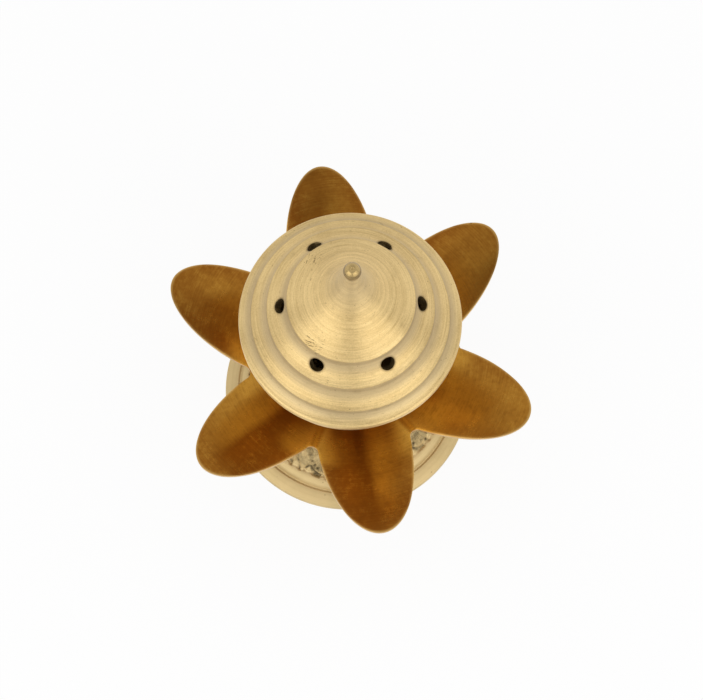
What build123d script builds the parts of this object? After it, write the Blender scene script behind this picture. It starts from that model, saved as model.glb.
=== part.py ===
from build123d import *
import os
from math import cos, pi, radians, sin, sqrt

# Incense stick holder in brass: a round foot, a turned stem, a sheet flower, a bowl and a pierced lid.
# Millimetres, +Z up. The origin is on the table, at the middle of the foot. One petal points along +X.

# Stack of the clamped pieces
FOOT_HEIGHT = 18.0
STEM_HEIGHT = 13.0
SHEET_THICKNESS = 1.0
BOWL_HEIGHT = 33.0
FLANGE_RADIUS = 9.0             # stem's top and bowl's foot, which grip the flower between them

# Foot, from its edge inwards
FOOT_RADIUS = 30.7
FOOT_TREAD_WIDTH = 3.6          # flat ring that stands on the table
FOOT_EDGE_HEIGHT = 2.2
FOOT_EDGE_CHAMFER = 0.5
RIM_WIDTH = 3.2
RIM_RISE = 1.7
RIM_BOW = 0.35
GROOVE_WIDTH = 0.6
GROOVE_DEPTH = 0.6
RING_WIDTH = 2.5
RING_RISE = 2.5
RING_BOW = 0.6
DOME_BOW = 2.4                  # swell of the band that carries the leaf scrolls
COLLAR_RADIUS = 9.4             # turned collar on top of the foot
COLLAR_HEIGHT = 1.4
FOOT_WALL = 2.4
FOOT_BOSS_THICKNESS = 5.0       # metal between the washer and the stem

# Stem
STEM_FOOT_RADIUS = 8.2
STEM_FLANGE_HEIGHT = 1.3
STEM_WAIST_RADIUS = 5.2
STEM_BEAD_RADIUS = 6.2
STEM_BEAD_HEIGHT = 3.6
STEM_COVE_BOW = 0.7
STEM_BEAD_BOW = 1.3

# Flower
PETAL_COUNT = 6
PETAL_TIP_RADIUS = 46.6
PETAL_HALF_LENGTH = 24.2
PETAL_HALF_WIDTH = 11.3
NOTCH_RADIUS = 1.7              # rounded cut between two petals
NOTCH_OVERLAP = 0.1             # how far that cut bites into the petals' sides
HUB_MARGIN = 0.5                # flat metal left round the two flanges
PETAL_ROOT_SLOPE = 18.5         # degrees above level
PETAL_LENGTH_CURVE = 350.0      # radius of the slight droop along a petal
PETAL_ARCH_CURVE = 40.0         # radius of the arch across a petal

# Bowl
BOWL_FLANGE_HEIGHT = 1.2
BOWL_NECK_RADIUS = 7.4
BOWL_NECK_HEIGHT = 1.4
BOWL_RIM_RADIUS = 24.6
BOWL_RIM_HEIGHT = 5.5
BOWL_SIDE_BOW = 4.0
BOWL_RIM_WALL = 2.3
BOWL_FLOOR_HEIGHT = 5.0         # inside floor above the bowl's foot
BOWL_FLOOR_RADIUS = 6.6

# Lid: how far each tier steps in and rises, from the rim up to the neck under the finial
LID_OVERHANG = 1.6              # lid's rim past the bowl's
LID_EDGE_HEIGHT = 1.2
RIM_BEAD_STEP = 0.7
RIM_BEAD_RISE = 0.8
RIM_BEAD_BOW = 0.18
LOWER_TIER_STEP = 2.25
LOWER_TIER_RISE = 3.2
LOWER_COVE_BOW = 0.45
MIDDLE_TIER_STEP = 3.75
MIDDLE_TIER_RISE = 6.1
UPPER_TIER_STEP = 4.6
UPPER_TIER_RISE = 6.2
COVE_BOW = 1.0
CONE_RISE = 20.5
CONE_BOW = 2.6
NECK_RADIUS = 1.5
LIP_EDGE = 0.35                 # upright face of a lip
LIP_UNDERCUT = 0.25
LID_WALL = 1.8                  # shell's thickness measured level
LID_WALL_DROP = 1.35            # shell's thickness measured upright
CONE_TIP_SOLID = 8.0            # solid metal at the cone's tip, which holds the finial
SPIGOT_DEPTH = 3.5              # ring under the lid that sits in the bowl's mouth
SPIGOT_CLEARANCE = 0.3
SPIGOT_LEAD = 0.4

# Stick holes
HOLE_COUNT = 6
HOLE_RADIUS = 1.75
HOLE_TILT = 45.0                # degrees above level
HOLE_TURN = 21.7                # degrees from a petal to the nearest hole
DRILL_REACH = 6.0               # how far the drill runs each way from the cove

# Finial
BALL_RADIUS = 2.05
FINIAL_COLLAR_RADIUS = 1.2
FINIAL_COLLAR_HEIGHT = 0.6
SHANK_RADIUS = 0.8
SHANK_LENGTH = 5.0
SHANK_CLEARANCE = 0.05

# Fasteners
BOLT_RADIUS = 2.5
BOLT_CLEARANCE = 0.15
BOLT_HEAD_RADIUS = 4.4
BOLT_HEAD_EDGE = 1.4
BOLT_HEAD_HEIGHT = 2.6
BOLT_POINT_CHAMFER = 0.5
BOLT_PAST_NUT = 2.0
SLOT_WIDTH = 1.2
SLOT_DEPTH = 1.3
NUT_ACROSS_FLATS = 8.0
NUT_HEIGHT = 4.0
NUT_CHAMFER = 0.5
THREAD_CLEARANCE = 0.05
WASHER_RADIUS = 5.6
WASHER_THICKNESS = 1.0

# Levels that follow from the stack
FLOWER_Z = FOOT_HEIGHT + STEM_HEIGHT
BOWL_Z = FLOWER_Z + SHEET_THICKNESS
FLOOR_Z = BOWL_Z + BOWL_FLOOR_HEIGHT
SEAT_Z = BOWL_Z + BOWL_HEIGHT
BOSS_Z = FOOT_HEIGHT - FOOT_BOSS_THICKNESS
NUT_Z = BOSS_Z - WASHER_THICKNESS - NUT_HEIGHT
BOLT_HOLE_RADIUS = BOLT_RADIUS + BOLT_CLEARANCE
HUB_RADIUS = FLANGE_RADIUS + HUB_MARGIN
BOWL_MOUTH_RADIUS = BOWL_RIM_RADIUS - BOWL_RIM_WALL
PAST = 1.0                      # how far a cutting shape runs past the face it opens

# Sharp corners of the lid's outside, as (radius, height above the lid's seat)
LID_RADIUS = BOWL_RIM_RADIUS + LID_OVERHANG
BEAD_TOP = (LID_RADIUS - RIM_BEAD_STEP, LID_EDGE_HEIGHT + RIM_BEAD_RISE)
LOWER_LIP = (BEAD_TOP[0] - LOWER_TIER_STEP, BEAD_TOP[1] + LOWER_TIER_RISE)
MIDDLE_LIP = (LOWER_LIP[0] - MIDDLE_TIER_STEP, LOWER_LIP[1] + MIDDLE_TIER_RISE)
UPPER_LIP = (MIDDLE_LIP[0] - UPPER_TIER_STEP, MIDDLE_LIP[1] + UPPER_TIER_RISE)
LID_NECK = (NECK_RADIUS, UPPER_LIP[1] + CONE_RISE)


def section(*corners):
    """Closed face from corners of (radius, height), with a third number where an arc leads to a corner:
    how far that arc bows to the left of its chord."""
    edges = []
    for start, end in zip(corners, corners[1:] + corners[:1]):
        bow = end[2] if len(end) > 2 else 0
        if bow:
            edges.append(SagittaArc(start[:2], end[:2], bow))
        else:
            edges.append(Line(start[:2], end[:2]))
    return make_face(edges)


def spun(face):
    """Spin a half section round the upright axis."""
    return revolve(Plane.XZ * face, Axis.Z)


def turned(*corners):
    """Turned solid with the given corners in its half section."""
    return spun(section(*corners))


def upright_rod(radius, low, high):
    """A plain cylinder on the upright axis between two heights."""
    return Pos(0, 0, low) * Cylinder(radius, high - low, align=(Align.CENTER, Align.CENTER, Align.MIN))


def bolt_hole(low, high):
    """Clearance hole for the tie bolt through a piece that lies between two heights."""
    return upright_rod(BOLT_HOLE_RADIUS, low - PAST, high + PAST)


def make_foot():
    edge_top = FOOT_EDGE_HEIGHT
    groove_outer = FOOT_RADIUS - RIM_WIDTH
    groove_inner = groove_outer - GROOVE_WIDTH
    groove_top = edge_top + RIM_RISE
    dome_radius = groove_inner - RING_WIDTH
    dome_z = groove_top + RING_RISE
    collar_z = FOOT_HEIGHT - COLLAR_HEIGHT
    body = turned(
        (0, 0),
        (FOOT_RADIUS - FOOT_EDGE_CHAMFER, 0),
        (FOOT_RADIUS, FOOT_EDGE_CHAMFER),
        (FOOT_RADIUS, edge_top),
        (groove_outer, groove_top, -RIM_BOW),
        (groove_outer, groove_top - GROOVE_DEPTH),
        (groove_inner, groove_top - GROOVE_DEPTH),
        (groove_inner, groove_top),
        (dome_radius, dome_z, -RING_BOW),
        (COLLAR_RADIUS, collar_z, -DOME_BOW),
        (COLLAR_RADIUS, FOOT_HEIGHT),
        (0, FOOT_HEIGHT),
    )
    hollow = turned(
        (0, -PAST),
        (FOOT_RADIUS - FOOT_TREAD_WIDTH, -PAST),
        (FOOT_RADIUS - FOOT_TREAD_WIDTH, 0),
        (dome_radius - FOOT_WALL / 2, dome_z - FOOT_WALL),
        (COLLAR_RADIUS, BOSS_Z, -DOME_BOW),
        (0, BOSS_Z),
    )
    return body - hollow - bolt_hole(BOSS_Z, FOOT_HEIGHT)


def make_stem():
    low = FOOT_HEIGHT + STEM_FLANGE_HEIGHT
    high = FLOWER_Z - STEM_FLANGE_HEIGHT
    bead_low = (low + high - STEM_BEAD_HEIGHT) / 2
    bead_high = bead_low + STEM_BEAD_HEIGHT
    body = turned(
        (0, FOOT_HEIGHT),
        (STEM_FOOT_RADIUS, FOOT_HEIGHT),
        (STEM_FOOT_RADIUS, low),
        (STEM_WAIST_RADIUS, bead_low, STEM_COVE_BOW),
        (STEM_BEAD_RADIUS, bead_low),
        (STEM_BEAD_RADIUS, bead_high, -STEM_BEAD_BOW),
        (STEM_WAIST_RADIUS, bead_high),
        (FLANGE_RADIUS, high, STEM_COVE_BOW),
        (FLANGE_RADIUS, FLOWER_Z),
        (0, FLOWER_Z),
    )
    return body - bolt_hole(FOOT_HEIGHT, FLOWER_Z)


def petal_outline():
    """Plan of one petal with its share of the web, between the two rays halfway to its neighbours."""
    half_pitch = pi / PETAL_COUNT
    reach = 2 * PETAL_TIP_RADIUS
    ray_end = (reach * cos(half_pitch), reach * sin(half_pitch))
    sector = make_face(Polyline((0, 0), (ray_end[0], -ray_end[1]), ray_end, close=True))
    blade = Pos(PETAL_TIP_RADIUS - PETAL_HALF_LENGTH, 0) * Ellipse(PETAL_HALF_LENGTH, PETAL_HALF_WIDTH)
    notch_y = PETAL_HALF_WIDTH + NOTCH_RADIUS - NOTCH_OVERLAP
    notch_centre = notch_y / sin(half_pitch)
    plan = (blade + Circle(notch_centre)) & sector
    for side in (-1, 1):
        plan -= Pos(notch_centre * cos(half_pitch), side * notch_y) * Circle(NOTCH_RADIUS)
    return plan - Circle(HUB_RADIUS)


def make_flower():
    slope = radians(PETAL_ROOT_SLOPE)
    sweep_centre = (
        HUB_RADIUS + PETAL_LENGTH_CURVE * sin(slope),
        0,
        BOWL_Z - PETAL_LENGTH_CURVE * cos(slope),
    )
    ring_radius = PETAL_LENGTH_CURVE - PETAL_ARCH_CURVE
    across = Pos(*sweep_centre) * Rot(90, 0, 0)
    upper_face = across * Torus(ring_radius, PETAL_ARCH_CURVE)
    lower_face = across * Torus(ring_radius, PETAL_ARCH_CURVE - SHEET_THICKNESS)
    stock_low = FLOWER_Z - STEM_HEIGHT / 2
    stock_height = PETAL_TIP_RADIUS
    stock = Pos(0, 0, stock_low) * extrude(petal_outline(), amount=stock_height)
    petal = (stock & upper_face) - lower_face
    flower = upright_rod(HUB_RADIUS, FLOWER_Z, BOWL_Z)
    for index in range(PETAL_COUNT):
        flower += Rot(0, 0, 360 / PETAL_COUNT * index) * petal
    return flower - bolt_hole(FLOWER_Z, BOWL_Z)


def make_bowl():
    flange_top = BOWL_Z + BOWL_FLANGE_HEIGHT
    neck_top = flange_top + BOWL_NECK_HEIGHT
    rim_low = SEAT_Z - BOWL_RIM_HEIGHT
    body = turned(
        (0, BOWL_Z),
        (FLANGE_RADIUS, BOWL_Z),
        (FLANGE_RADIUS, flange_top),
        (BOWL_NECK_RADIUS, neck_top),
        (BOWL_RIM_RADIUS, rim_low, -BOWL_SIDE_BOW),
        (BOWL_RIM_RADIUS, SEAT_Z),
        (0, SEAT_Z),
    )
    hollow = turned(
        (0, FLOOR_Z),
        (BOWL_FLOOR_RADIUS, FLOOR_Z),
        (BOWL_MOUTH_RADIUS - SPIGOT_CLEARANCE, rim_low, -BOWL_SIDE_BOW),
        (BOWL_MOUTH_RADIUS, rim_low),
        (BOWL_MOUTH_RADIUS, SEAT_Z + PAST),
        (0, SEAT_Z + PAST),
    )
    return body - hollow - bolt_hole(BOWL_Z, FLOOR_Z)


def under_lip(lip):
    """Corner where the cove below a lip meets the lip's undercut."""
    return (lip[0] - LIP_UNDERCUT, lip[1] - LIP_EDGE)


def arc_middle(start, end, bow):
    """Point halfway along an arc that bows to the left of its chord."""
    run = (end[0] - start[0], end[1] - start[1])
    length = sqrt(run[0] ** 2 + run[1] ** 2)
    middle = ((start[0] + end[0]) / 2, (start[1] + end[1]) / 2)
    return (middle[0] - bow * run[1] / length, middle[1] + bow * run[0] / length)


def stick_hole_place():
    """Radius and height above the seat of a stick hole's centre, halfway up the top cove."""
    return arc_middle(MIDDLE_LIP, under_lip(UPPER_LIP), COVE_BOW)


def make_lid():
    shell = turned(
        (0, 0),
        (LID_RADIUS, 0),
        (LID_RADIUS, LID_EDGE_HEIGHT),
        (*BEAD_TOP, -RIM_BEAD_BOW),
        (*under_lip(LOWER_LIP), LOWER_COVE_BOW),
        (LOWER_LIP[0], LOWER_LIP[1] - LIP_EDGE),
        LOWER_LIP,
        (*under_lip(MIDDLE_LIP), COVE_BOW),
        (MIDDLE_LIP[0], MIDDLE_LIP[1] - LIP_EDGE),
        MIDDLE_LIP,
        (*under_lip(UPPER_LIP), COVE_BOW),
        (UPPER_LIP[0], UPPER_LIP[1] - LIP_EDGE),
        UPPER_LIP,
        (*LID_NECK, CONE_BOW),
        (0, LID_NECK[1]),
    )
    spigot_radius = BOWL_MOUTH_RADIUS - SPIGOT_CLEARANCE
    spigot = turned(
        (0, -SPIGOT_DEPTH),
        (spigot_radius - SPIGOT_LEAD, -SPIGOT_DEPTH),
        (spigot_radius, SPIGOT_LEAD - SPIGOT_DEPTH),
        (spigot_radius, 0),
        (0, 0),
    )

    def inside(corner):
        return (corner[0] - LID_WALL, corner[1] - LID_WALL_DROP)

    core_low = -SPIGOT_DEPTH - PAST
    under_shell = section(
        (-LID_RADIUS, core_low),
        (LID_RADIUS, core_low),
        (LID_RADIUS, 0),
        inside(BEAD_TOP),
        (*inside(LOWER_LIP), LOWER_COVE_BOW),
        (*inside(MIDDLE_LIP), COVE_BOW),
        (*inside(UPPER_LIP), COVE_BOW),
        (*inside(LID_NECK), CONE_BOW),
        (-LID_RADIUS, LID_NECK[1]),
    )
    core_window = Pos(0, core_low) * Rectangle(
        spigot_radius - LID_WALL,
        LID_NECK[1] - CONE_TIP_SOLID - core_low,
        align=(Align.MIN, Align.MIN),
    )
    lid = shell + spigot - spun(under_shell & core_window)
    lid -= upright_rod(SHANK_RADIUS + SHANK_CLEARANCE, LID_NECK[1] - SHANK_LENGTH - PAST, LID_NECK[1] + PAST)
    hole_radius, hole_z = stick_hole_place()
    drill = Pos(hole_radius, 0, hole_z) * Rot(0, 90 - HOLE_TILT, 0) * Cylinder(HOLE_RADIUS, 2 * DRILL_REACH)
    for index in range(HOLE_COUNT):
        lid -= Rot(0, 0, HOLE_TURN + 360 / HOLE_COUNT * index) * drill
    return Pos(0, 0, SEAT_Z) * lid


def make_finial():
    ball_z = FINIAL_COLLAR_HEIGHT + sqrt(BALL_RADIUS ** 2 - FINIAL_COLLAR_RADIUS ** 2)
    pin = turned(
        (0, -SHANK_LENGTH),
        (SHANK_RADIUS, -SHANK_LENGTH),
        (SHANK_RADIUS, 0),
        (NECK_RADIUS, 0),
        (FINIAL_COLLAR_RADIUS, FINIAL_COLLAR_HEIGHT),
        (FINIAL_COLLAR_RADIUS, ball_z),
        (0, ball_z),
    )
    ball = Pos(0, 0, ball_z) * Sphere(BALL_RADIUS)
    return Pos(0, 0, SEAT_Z + LID_NECK[1]) * (pin + ball)


def make_tie_bolt():
    point_z = NUT_Z - BOLT_PAST_NUT
    head_top = FLOOR_Z + BOLT_HEAD_HEIGHT
    crown = BOLT_HEAD_HEIGHT - BOLT_HEAD_EDGE
    crown_curve = (BOLT_HEAD_RADIUS ** 2 + crown ** 2) / (2 * crown)
    crown_bow = crown_curve - sqrt(crown_curve ** 2 - (BOLT_HEAD_RADIUS ** 2 + crown ** 2) / 4)
    body = turned(
        (0, point_z),
        (BOLT_RADIUS - BOLT_POINT_CHAMFER, point_z),
        (BOLT_RADIUS, point_z + BOLT_POINT_CHAMFER),
        (BOLT_RADIUS, FLOOR_Z),
        (BOLT_HEAD_RADIUS, FLOOR_Z),
        (BOLT_HEAD_RADIUS, FLOOR_Z + BOLT_HEAD_EDGE),
        (0, head_top, -crown_bow),
    )
    slot = Pos(0, 0, head_top) * Box(2 * BOLT_HEAD_RADIUS + PAST, SLOT_WIDTH, 2 * SLOT_DEPTH)
    return body - slot


def make_washer():
    disc = upright_rod(WASHER_RADIUS, NUT_Z + NUT_HEIGHT, BOSS_Z)
    return disc - bolt_hole(NUT_Z + NUT_HEIGHT, BOSS_Z)


def make_nut():
    corner_radius = NUT_ACROSS_FLATS / sqrt(3)
    flat_radius = NUT_ACROSS_FLATS / 2
    top = NUT_Z + NUT_HEIGHT
    hexagon = Pos(0, 0, NUT_Z) * extrude(RegularPolygon(corner_radius, 6), amount=NUT_HEIGHT)
    crown = turned(
        (0, NUT_Z),
        (flat_radius, NUT_Z),
        (flat_radius + 2 * NUT_CHAMFER, NUT_Z + NUT_CHAMFER),
        (flat_radius + 2 * NUT_CHAMFER, top - NUT_CHAMFER),
        (flat_radius, top),
        (0, top),
    )
    return (hexagon & crown) - upright_rod(BOLT_RADIUS + THREAD_CLEARANCE, NUT_Z - PAST, top + PAST)


PIECES = {
    "foot": make_foot,
    "stem": make_stem,
    "petal_flower": make_flower,
    "bowl": make_bowl,
    "pierced_lid": make_lid,
    "finial": make_finial,
    "tie_bolt": make_tie_bolt,
    "foot_washer": make_washer,
    "foot_nut": make_nut,
}

os.makedirs("parts", exist_ok=True)
for name, make_piece in PIECES.items():
    export_step(make_piece(), f"parts/{name}.step")

hole_radius, hole_height = stick_hole_place()
print("stick hole centre: radius", round(hole_radius, 3), "height", round(SEAT_Z + hole_height, 3))
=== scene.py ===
from math import cos, hypot, pi, radians, sin, sqrt, tan

import bmesh
import bpy
import numpy as np
from mathutils import Matrix, Vector
from mathutils.kdtree import KDTree


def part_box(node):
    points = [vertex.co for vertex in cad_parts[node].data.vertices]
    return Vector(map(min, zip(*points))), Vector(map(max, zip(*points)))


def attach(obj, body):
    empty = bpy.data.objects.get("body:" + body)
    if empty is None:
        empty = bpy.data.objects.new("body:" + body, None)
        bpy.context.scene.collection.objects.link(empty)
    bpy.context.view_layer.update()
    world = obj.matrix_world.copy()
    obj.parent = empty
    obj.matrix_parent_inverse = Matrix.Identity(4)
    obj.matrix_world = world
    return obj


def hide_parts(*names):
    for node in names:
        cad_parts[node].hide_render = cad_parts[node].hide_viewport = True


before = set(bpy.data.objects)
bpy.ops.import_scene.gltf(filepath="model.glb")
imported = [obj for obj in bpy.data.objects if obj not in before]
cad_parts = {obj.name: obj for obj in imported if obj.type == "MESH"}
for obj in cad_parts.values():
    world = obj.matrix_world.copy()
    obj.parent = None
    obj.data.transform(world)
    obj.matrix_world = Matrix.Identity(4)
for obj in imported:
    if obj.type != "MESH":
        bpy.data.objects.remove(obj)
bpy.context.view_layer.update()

# Incense stick holder in brass. Sizes are in millimetres, and meshes are scaled to metres as they are made.
MM = 0.001


def reach(node):
    """Largest radius, lowest and highest level of a piece of the frame."""
    low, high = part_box(node)
    return high.x / MM, low.z / MM, high.z / MM


FOOT_RADIUS, _, FOOT_TOP = reach("foot")
PETAL_TIP_RADIUS, FLOWER_Z, _ = reach("petal_flower")
BOWL_RIM_RADIUS, BOWL_Z, SEAT_Z = reach("bowl")
LID_RADIUS, SPIGOT_Z, NECK_Z = reach("pierced_lid")
BALL_RADIUS, SHANK_Z, BALL_TOP = reach("finial")
BOLT_HEAD_RADIUS, BOLT_POINT_Z, _ = reach("tie_bolt")
WASHER_RADIUS, WASHER_Z, BOSS_Z = reach("foot_washer")
NUT_CORNER_RADIUS, NUT_Z, _ = reach("foot_nut")

# Foot
FOOT_TREAD_WIDTH = 3.6
FOOT_EDGE_HEIGHT = 2.2
FOOT_EDGE_CHAMFER = 0.5
RIM_WIDTH = 3.2
RIM_RISE = 1.7
RIM_BOW = 0.12
GROOVE_WIDTH = 0.6
GROOVE_DEPTH = 0.1  # the groove is nearly polished shut
GROOVE_SOIL = 0.18
GROOVE_SOIL_WIDTH = 0.25
RING_WIDTH = 2.5
RING_RISE = 2.5
RING_BOW = 0.6
DOME_BOW = 2.4
COLLAR_RADIUS = 9.4
COLLAR_HEIGHT = 1.4
FOOT_WALL = 2.4
BOLT_HOLE_RADIUS = 2.65

# Cast leaf band on the foot. A cut is the width and depth of an engraved stroke. A start, an end or a fade
# is the pair of values between which something eases in or out.
BAND_START = (9.5, 10.0)
BAND_RADIUS = 25.1
BAND_EASE = 0.4
LEAF_COUNT = 16
LEAF_TURN = radians(4.5)
LEAF_ROOT_RADIUS = 19.4  # where the ribs of a leaf meet
LEAF_SPAN = 4.9
LEAF_EDGE_CUT = (0.3, 0.5)
LEAF_EDGE_FADE = (0.55, 0.75)
FAN_FADE = (1.35, 1.6)
SWELL_SPAN = 3.1  # middle of the raised part of a leaf
SWELL_REACH = 2.3
SWELL_RISE = 0.34
RIB_ANGLE = radians(15.0)
RIB_CUT = (0.3, 0.46)
RIB_START = (1.6, 2.4)
RIB_END = (4.3, 4.9)
KNOB_RADIUS = 1.2  # raised root of a leaf
KNOB_RISE = 0.4
KNOB_CUT_SPAN = 1.35
KNOB_CUT = (0.22, 0.35)
BUD_RING_RADIUS = 20.8
BUD_RADIUS = 1.25
BUD_CLEARANCE = 0.8
BUD_RISE = 0.25
BUD_RIDGE_WIDTH = 0.5
SPIRAL_START = 0.3  # share of the bud's radius at which its spiral begins
SPIRAL_GROWTH = 0.75
SPIRAL_CUT = (0.3, 0.6)
HUSK_GAP = 0.6
HUSK_TURN = 0.8
HUSK_FADE = (-0.2, 0.5)
HUSK_CUT = (0.3, 0.45)
SCROLL_CUT = (0.34, 0.5)
SCROLL_STROKES = (  # places as (distance aside from the gap between two leaves, radius)
    ((-3.5, 24.2), (-3.1, 24.9)),
    ((-2.1, 23.2), (-1.5, 23.8), (-0.6, 24.9)),
    ((0.5, 24.1), (1.0, 23.5), (1.6, 23.4), (2.2, 24.0), (3.0, 24.4), (4.5, 24.6)),
    ((1.2, 22.4), (2.2, 22.7), (3.2, 23.3)),
)
VINE_START = (13.2, 14.0)
VINE_END = (17.8, 18.6)
VINE_ASIDE = 0.7
VINE_SWAY = 0.5
VINE_WAVE = 0.9
VINE_WAVE_RADIUS = 13.0
VINE_CUT = (0.26, 0.4)
BEAD_COUNT = 36
BEAD_RING_RADIUS = 11.3
BEAD_RADIUS = 0.85
BEAD_RISE = 0.55
BEAD_SINK = 0.3
BEAD_BAND_RADIUS = 12.5
BEAD_LINE_RADIUS = 12.6
BEAD_LINE_CUT = (0.22, 0.3)
BAND_SOIL = 0.5
BAND_SOIL_START = (12.0, 13.0)
BAND_SOIL_END = (23.4, 24.2)
CUT_SOIL = 0.85
CUT_SOIL_DEPTH = 0.48

# Stem
STEM_FOOT_RADIUS = 8.2
STEM_FLANGE_HEIGHT = 1.3
STEM_WAIST_RADIUS = 5.2
STEM_BEAD_RADIUS = 6.2
STEM_BEAD_HEIGHT = 3.6
STEM_COVE_BOW = 0.7
STEM_BEAD_BOW = 1.3
FLANGE_RADIUS = 9.0

# Flower
PETAL_COUNT = 6
PETAL_PITCH = 2 * pi / PETAL_COUNT
PETAL_HALF_WIDTH = 11.3
SHEET_THICKNESS = 1.0
SHEET_EDGE_ROUNDING = 0.28
SHEET_EDGE_ANGLE = radians(50.0)
NOTCH_RADIUS = 1.7
HUB_RADIUS = 9.5
HUB_EASE = 4.0
PETAL_ROOT_SLOPE = radians(18.5)
PETAL_LENGTH_CURVE = 350.0
PETAL_ARCH_CURVE = 40.0
VALLEY_SOFTNESS = 0.9  # how far the fold between two petals is rounded
PETAL_TURNS = (-1.1, 0.7, -0.4, -0.8, 0.4, 0.6)  # degrees that each petal was bent aside by hand
PETAL_CLIPS = (0.0, 0.6, 0.2, 0.6, 0.55, 0.25)  # how much shorter each petal came out
PETAL_FREE_RADIUS = 22.0  # beyond this the petals are bent one by one
PETAL_UNEVEN_RISE = 0.06
PETAL_UNEVEN_START = (14.0, 26.0)
# Darkness of each petal's right and left half, seen from the middle: painted reflections over the patina
PETAL_HALF_SHADING = ((0.25, 0.4), (0.35, 0.65), (0.5, 0.8), (0.5, 0.8), (0.05, 1.15), (1.15, 0.4))
SHADING_FOLD = 1.6  # half the strip in which the halves blend
# Painted shade toward the flanks of each petal
FLANK_START = (4.0, 9.0)
FLANK_SHADE = 0.35
# Painted light: the webs between petals fade to a lighter darkness
WEB_END = (26.0, 32.0)
WEB_SHADING = 0.2
# Darker toward the tips
TIP_START = (33.0, 45.0)
TIP_DARKENING = 0.2
# Painted light on the root, under the lid
ROOT_END = (25.0, 31.0)
ROOT_LIGHT = 0.3
RIM_HIGHLIGHT_WIDTH = 0.3  # strip along the edges with a painted highlight
RIM_HIGHLIGHT_START = (27.0, 30.0)

# Bowl
BOWL_FLANGE_HEIGHT = 1.2
BOWL_NECK_RADIUS = 7.4
BOWL_NECK_HEIGHT = 1.4
BOWL_RIM_HEIGHT = 5.5
BOWL_SIDE_BOW = 4.0
BOWL_RIM_WALL = 2.3
BOWL_FLOOR_HEIGHT = 5.0
BOWL_FLOOR_RADIUS = 6.6

# Lid
LID_EDGE_HEIGHT = 1.2
RIM_BEAD_STEP = 0.7
RIM_BEAD_RISE = 0.8
RIM_BEAD_BOW = 0.18
LOWER_TIER_STEP = 2.25
LOWER_TIER_RISE = 3.2
LOWER_COVE_BOW = 0.45
MIDDLE_TIER_STEP = 3.75
MIDDLE_TIER_RISE = 6.1
UPPER_TIER_STEP = 4.6
UPPER_TIER_RISE = 6.2
COVE_BOW = 1.0
CONE_BOW = 2.6
NECK_RADIUS = 1.5
LIP_EDGE = 0.35
LIP_UNDERCUT = 0.15
LIP_LINE_WIDTH = 0.14  # dark line of painted shade along each lip
LIP_LINE_SHADE = 0.45
# Painted shade just under each lip
UNDERCUT_SHADE = 0.3
UNDERCUT_SHADE_OFFSET = 0.05
COVE_REACH = 0.6  # how far a cove's wall lies inside the lip above it
CREASE_WIDTH = 0.3
LIP_SHADE = (0.2, 2.6)  # how far painted grey shade reaches out from under a lip
NECK_SHADE = (2.0, 7.5)  # and round the finial
NECK_SHADE_SHARE = 0.8
PIT_CLUSTERS = (  # place and width
    (-4.6, -13.3, 83.0, 3.0),
    (0.9, -19.1, 77.5, 1.3),
    (-11.4, 5.7, 84.5, 2.6),
    (-1.3, 24.0, 68.5, 1.1),
)
LID_WALL = 1.8
LID_WALL_DROP = 1.35
CONE_TIP_SOLID = 8.0
CORE_SHARE = 0.3  # share of the cone's arc after which its inside is drawn as a second arc
CORE_END_BOW = 0.3 * CONE_BOW
SPIGOT_CLEARANCE = 0.3
SPIGOT_LEAD = 0.4
HOLE_COUNT = 6
HOLE_RADIUS = 1.75
HOLE_TILT = radians(45.0)
HOLE_TURN = radians(21.7)
# Painted shade at the edges of the stick holes
HOLE_SHADE_WIDTH = 0.28
DRILL_REACH = 6.0

# Finial
FINIAL_COLLAR_RADIUS = 1.2
FINIAL_COLLAR_HEIGHT = 0.6
BALL_FLAT_RADIUS = 0.95
BALL_SHADE_ANGLE = radians(24.0)  # painted shade rings the ball's sides, up to this height
BALL_SHADE_WIDTH = 0.5
BALL_SHADE_LIFT = 0.1
CENTRE_MARK_RADIUS = 0.5
CENTRE_MARK_DEPTH = 0.22
SHANK_RADIUS = 0.8
SHANK_HOLE_RADIUS = 0.85
SHANK_HOLE_SPARE = 1.0

# Fasteners
BOLT_RADIUS = 2.5
BOLT_CHAMFER = 0.5
BOLT_HEAD_EDGE = 1.4
BOLT_HEAD_HEIGHT = 2.6
BOLT_TOP = BOWL_Z + BOWL_FLOOR_HEIGHT + BOLT_HEAD_HEIGHT
THREAD_PITCH = 0.8
THREAD_DEPTH = 0.42
THREAD_START = (BOLT_POINT_Z, BOLT_POINT_Z + 0.6)
THREAD_END = (21.0, 22.0)
SLOT_WIDTH = 1.2
SLOT_DEPTH = 1.3
NUT_SIDES = 6
NUT_CHAMFER = 0.5
NUT_BORE_CHAMFER = 0.3
NUT_CORNER_TRIM = 0.1
NUT_EASE = 0.06

# Fineness of the meshes
ROUND_STEPS = 192
LID_STEPS = 288
FOOT_STEPS = 960
FASTENER_STEPS = 72
OUTLINE_STEP = 0.5
HIDDEN_STEP = 0.8
FINE_STEP = 0.25
TINY_STEP = 0.1
DOME_STEP = 0.17
CORNER_STEPS = 4
EASE_SHARE = 0.45  # the most of an edge that the easing of a corner takes
BALL_STEPS = 36
PETAL_COLUMNS = 41
HUB_ROWS = 4
WEB_ROWS = 17
NOTCH_ROWS = 8
PETAL_ROWS = 36
NUT_STEP = 0.12
SHARP_ANGLE = radians(40.0)
NUT_SHARP_ANGLE = radians(35.0)
SAME_PLACE = 1e-7  # metres within which two points are one

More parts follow.
